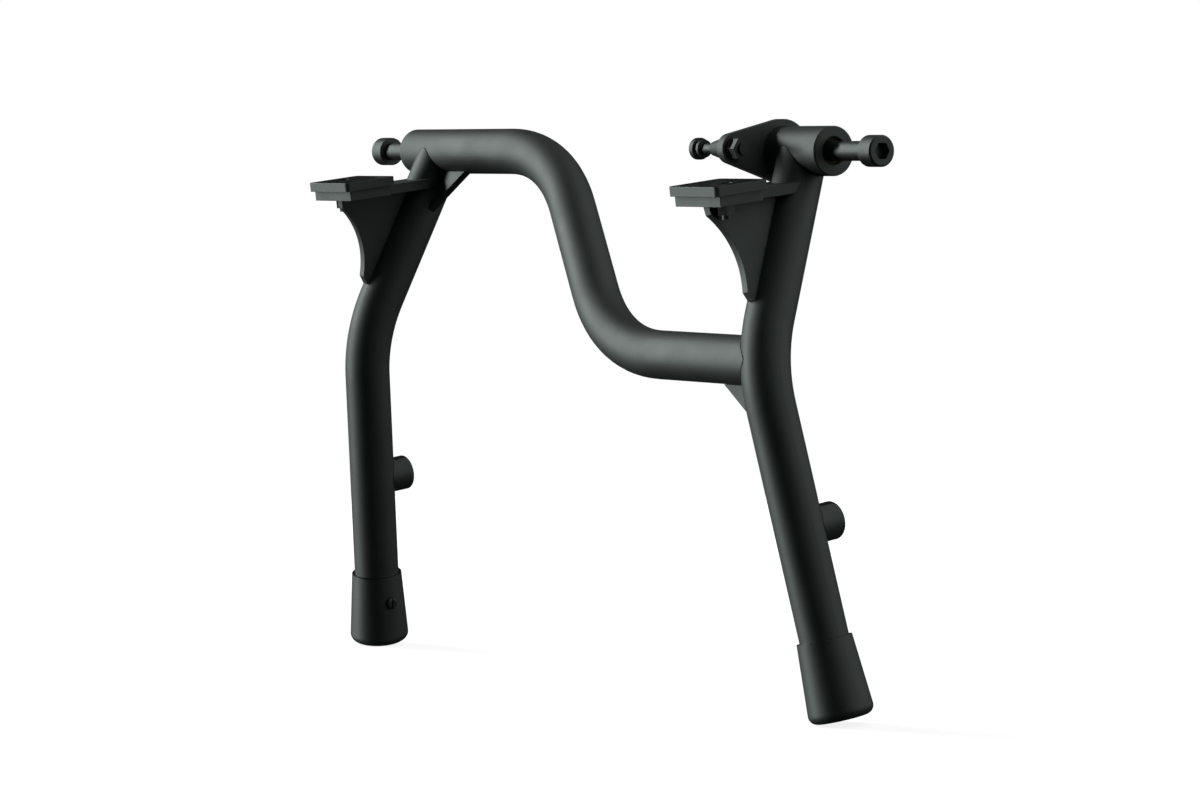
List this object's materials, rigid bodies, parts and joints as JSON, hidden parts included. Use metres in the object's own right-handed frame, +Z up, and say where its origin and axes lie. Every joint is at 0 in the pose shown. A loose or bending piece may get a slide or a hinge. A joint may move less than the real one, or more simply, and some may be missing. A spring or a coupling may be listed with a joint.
{
  "type": "centre stand",
  "caption": "Two-legged centre stand: splayed bent legs joined by an S-bent cross tube, turning on pivot bolts, with rubber-padded stops, a spring post, bumpers and rubber feet.",
  "frame": {"origin": "on the pivot line, half way between the two frame lugs", "axes": "+X along the pivot line towards the bush and spring post, -Y to the front where the stop pads reach, +Z up"},
  "size_m": [0.4748, 0.0899, 0.3031],
  "materials": {
    "frame_coat": "satin powder coat",
    "dark_steel": "blackened steel",
    "black_rubber": "matte moulded rubber",
    "bronze": "turned bronze"
  },
  "bodies": {
    "pivot_bolts": {"left_pivot_bolt": "dark_steel", "right_pivot_bolt": "dark_steel"},
    "stand": {"left_leg": "frame_coat", "right_leg": "frame_coat", "cross_tube": "frame_coat", "left_pivot_bush": "frame_coat", "right_pivot_bush": "frame_coat", "left_corner_gusset": "frame_coat", "right_corner_gusset": "frame_coat", "left_stop_bracket": "frame_coat", "right_stop_bracket": "frame_coat", "left_web": "frame_coat", "right_web": "frame_coat", "spring_plate": "frame_coat", "left_pad_screw": "dark_steel", "right_pad_screw": "dark_steel", "left_pad_nut": "dark_steel", "right_pad_nut": "dark_steel", "spring_post": "dark_steel", "spring_post_washer": "dark_steel", "spring_post_nut": "dark_steel", "left_bumper_pin": "dark_steel", "right_bumper_pin": "dark_steel", "left_foot_screw": "dark_steel", "right_foot_screw": "dark_steel", "left_stop_pad": "black_rubber", "right_stop_pad": "black_rubber", "left_bumper": "black_rubber", "right_bumper": "black_rubber", "left_foot": "black_rubber", "right_foot": "black_rubber", "left_bearing_sleeve": "bronze", "right_bearing_sleeve": "bronze"}
  },
  "joints": [
    {"name": "stand_pivot", "type": "hinge", "parent": "pivot_bolts", "child": "stand", "pos_m": [0, 0, 0], "axis": [1, 0, 0], "range_deg": [-7.2, 88]}
  ]
}
